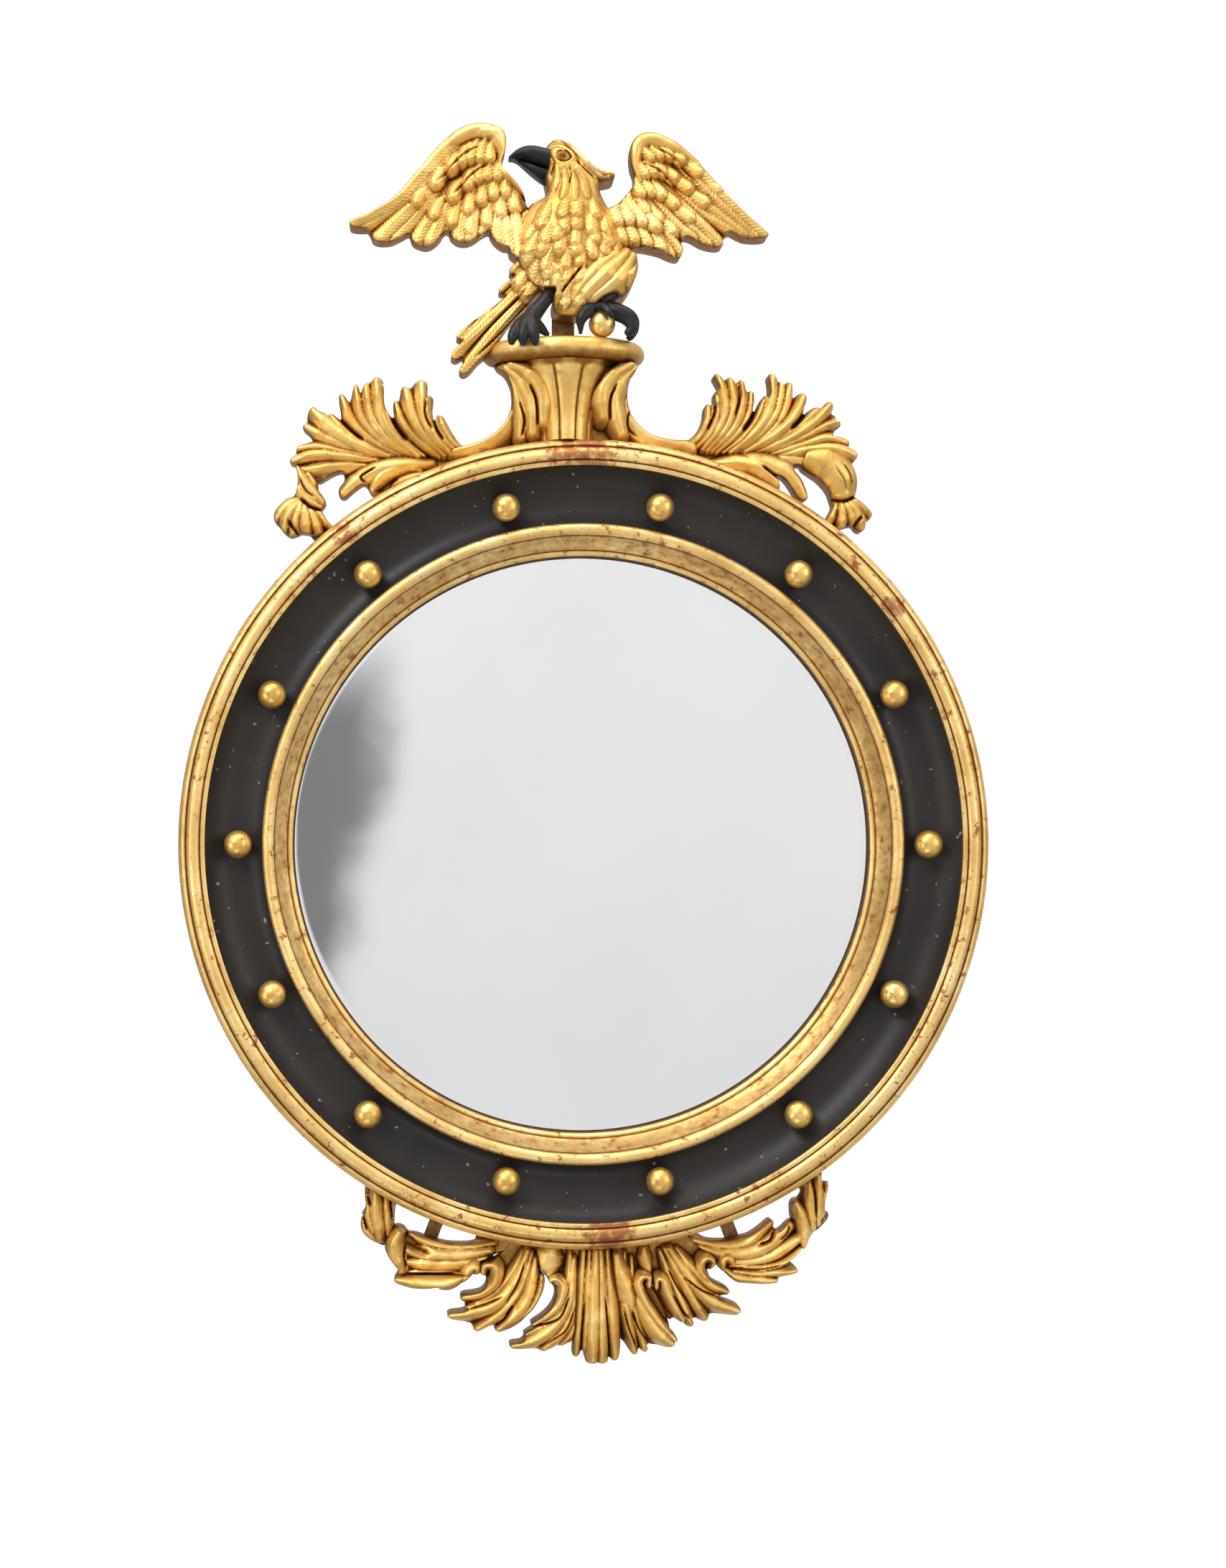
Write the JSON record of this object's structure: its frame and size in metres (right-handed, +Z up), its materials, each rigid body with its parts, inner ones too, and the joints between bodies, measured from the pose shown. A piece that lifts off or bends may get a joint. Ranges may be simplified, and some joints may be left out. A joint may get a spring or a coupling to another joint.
{
  "type": "girandole mirror",
  "caption": "Round convex wall mirror in a gilded, moulded frame with balls in a black hollow, a spread eagle and acanthus crest, and a leafy apron below.",
  "frame": {"origin": "the round frame's axis, on the plane of its back, which lies against the wall", "axes": "+Y points from the back into the wall, so the front faces -Y; +Z is up to the eagle; +X is to the right seen from the front"},
  "size_m": [0.6859, 0.0815, 1.0527],
  "materials": {
    "gilt_wood": "water-gilded carved wood and composition over red bole, rubbed and toned",
    "black_cove": "ebonised wood, satin, lightly scuffed",
    "black_slip": "dark painted slip",
    "black_horn": "ebonised carved wood, satin",
    "silvered_glass": "convex silvered plate with a soft age bloom at its rim",
    "pine": "unfinished softwood with ochre wash",
    "brass": "dull brass",
    "iron": "flat wrought straps, dark"
  },
  "bodies": {
    "frame": {"back_ring": "pine", "front_ring": "pine", "cove_ring": "black_cove", "outer_moulding": "gilt_wood", "sight_moulding": "gilt_wood", "glass_slip": "black_slip", "mirror_glass": "silvered_glass", "glazing_blocks": "pine", "back_board": "pine", "cove_balls": "gilt_wood", "hanger_plate_left": "brass", "hanger_plate_right": "brass", "crest_straps": "iron", "plinth_bell": "gilt_wood", "plinth_cap": "gilt_wood", "plinth_leaf_left": "gilt_wood", "plinth_leaf_right": "gilt_wood", "crest_leaf_left": "gilt_wood", "crest_leaf_right": "gilt_wood", "crest_drop_left": "gilt_wood", "crest_drop_right": "gilt_wood", "eagle_body": "gilt_wood", "eagle_beak": "black_horn", "eagle_wing_left": "gilt_wood", "eagle_wing_right": "gilt_wood", "eagle_tail": "gilt_wood", "eagle_leg_left": "black_horn", "eagle_leg_right": "black_horn", "talon_ball": "gilt_wood", "apron_straps": "iron", "apron_centre": "gilt_wood", "apron_leaf_left": "gilt_wood", "apron_leaf_right": "gilt_wood", "apron_lobe_left": "gilt_wood", "apron_lobe_right": "gilt_wood", "apron_scroll_left": "gilt_wood", "apron_scroll_right": "gilt_wood", "apron_end_left": "gilt_wood", "apron_end_right": "gilt_wood"},
    "left_hanging_ring": {"hanger_ring_left": "brass"},
    "right_hanging_ring": {"hanger_ring_right": "brass"}
  },
  "joints": [
    {"name": "left_ring_hinge", "type": "hinge", "parent": "frame", "child": "left_hanging_ring", "pos_m": [-0.20743, -0.0034, 0.23037], "axis": [-0.7431, 0, -0.6691], "range_deg": [0, 187]},
    {"name": "right_ring_hinge", "type": "hinge", "parent": "frame", "child": "right_hanging_ring", "pos_m": [0.20743, -0.0034, 0.23037], "axis": [-0.7431, 0, 0.6691], "range_deg": [0, 187]}
  ]
}
